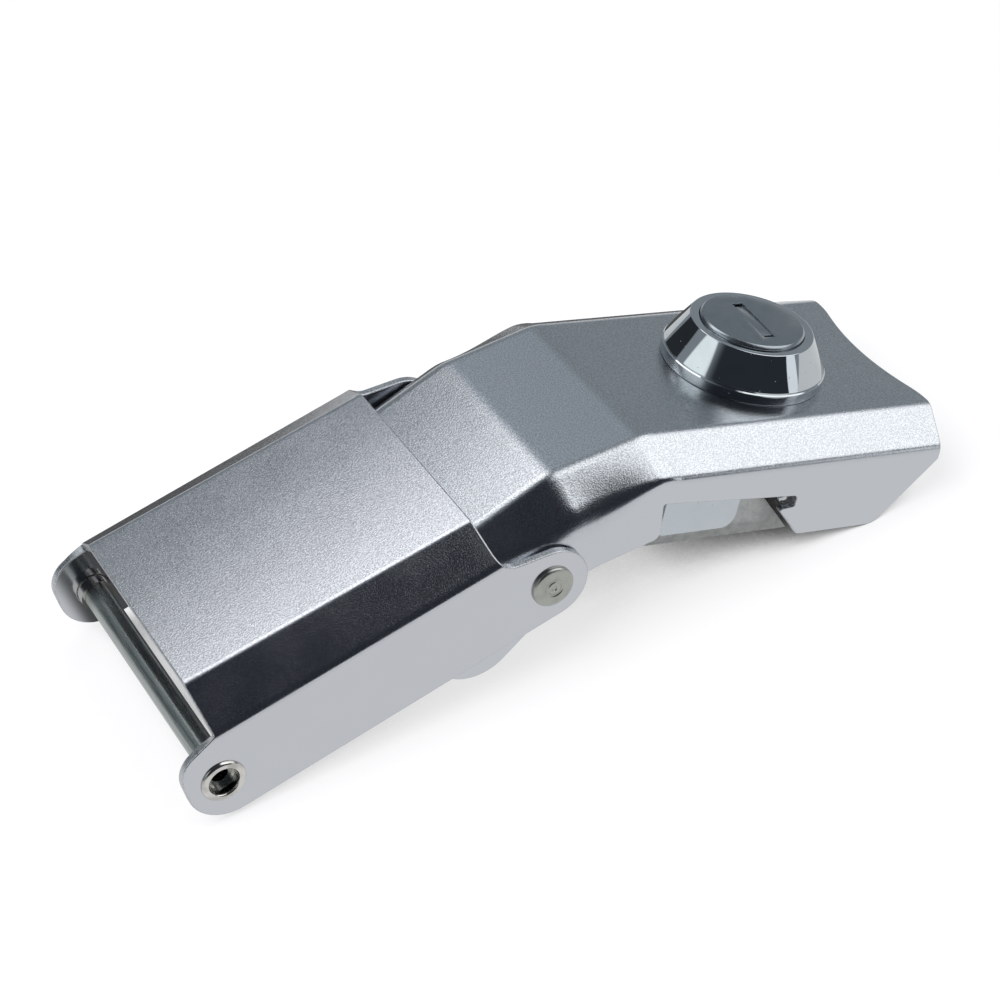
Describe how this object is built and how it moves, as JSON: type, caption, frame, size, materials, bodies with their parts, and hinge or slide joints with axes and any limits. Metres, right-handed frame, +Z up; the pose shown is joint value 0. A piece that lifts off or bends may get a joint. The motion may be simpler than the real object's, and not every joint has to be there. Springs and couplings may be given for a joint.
{
  "type": "luggage box lock",
  "caption": "Key-locked draw latch for a luggage box: a link cover on a hollow axle, and a hinged lever with hooked claws, a sliding bolt and a cylinder lock",
  "frame": {"origin": "middle of the hollow axle at the link's free end", "axes": "+X from the axle towards the lock, +Y along the axle to the far side, +Z up, with the latch lying on its axle ears and claws"},
  "size_m": [0.1235, 0.0474, 0.0275],
  "materials": {
    "link_steel": "bead-blasted satin chrome with bright bent edges",
    "lever_steel": "bead-blasted satin chrome, smooth side walls",
    "axle_steel": "drawn tube, lightly worn",
    "eyelet_nickel": "polished nickel",
    "rivet_nickel": "satin nickel",
    "bush_bronze": "sintered",
    "guide_steel": "smooth plated",
    "stud_steel": "turned",
    "bracket_steel": "zinc plated",
    "stop_chrome": "polished",
    "bezel_chrome": "mirror polished",
    "gasket_rubber": "moulded",
    "nut_steel": "zinc plated",
    "plug_zinc": "satin die-cast zinc",
    "shutter_steel": "stamped",
    "wafer_brass": "stamped",
    "clip_steel": "spring steel",
    "cam_zinc": "zinc plated",
    "bolt_zinc": "dull zinc plate, mottled"
  },
  "bodies": {
    "link": {"link_cover": "link_steel", "axle_rod": "axle_steel", "eyelet_near": "eyelet_nickel", "eyelet_far": "eyelet_nickel", "hinge_rivet_near": "rivet_nickel", "hinge_rivet_far": "rivet_nickel"},
    "lever": {"lever_shell": "lever_steel", "pivot_bush_near": "bush_bronze", "pivot_bush_far": "bush_bronze", "guide_plate_near": "guide_steel", "guide_plate_far": "guide_steel", "guide_studs_near": "stud_steel", "guide_studs_far": "stud_steel", "lock_bracket": "bracket_steel", "striker_stop_near": "stop_chrome", "striker_stop_far": "stop_chrome", "lock_housing": "bezel_chrome", "bezel_gasket": "gasket_rubber", "lock_washer": "nut_steel", "lock_nut": "nut_steel"},
    "plug": {"lock_plug": "plug_zinc", "wafers": "wafer_brass", "plug_clip": "clip_steel", "cam": "cam_zinc", "cam_washer": "nut_steel", "cam_screw": "nut_steel"},
    "shutter": {"key_shutter": "shutter_steel"},
    "bolt": {"sliding_bolt": "bolt_zinc"}
  },
  "joints": [
    {"name": "lever_hinge", "type": "hinge", "parent": "link", "child": "lever", "pos_m": [0.05047, 0, 0.00865], "axis": [0, -1, 0], "range_deg": [-8, 45]},
    {"name": "plug_turn", "type": "hinge", "parent": "lever", "child": "plug", "pos_m": [0.09518, 0, 0.01185], "axis": [0.3248, 0, 0.9458], "range_deg": [0, 90]},
    {"name": "shutter_flap", "type": "hinge", "parent": "plug", "child": "shutter", "pos_m": [0.09658, 0.00005, 0.01793], "axis": [0.066, 0.9976, -0.0227], "range_deg": [0, 80], "stiffness_Nm_per_rad": 0.0005},
    {"name": "bolt_slide", "type": "slide", "parent": "lever", "child": "bolt", "axis": [-0.9458, 0, 0.3248], "range_m": [0, 0.006]}
  ],
  "couplings": [
    {"joint": "bolt_slide", "follows": "plug_turn", "m_per_rad": 0.0038197}
  ]
}
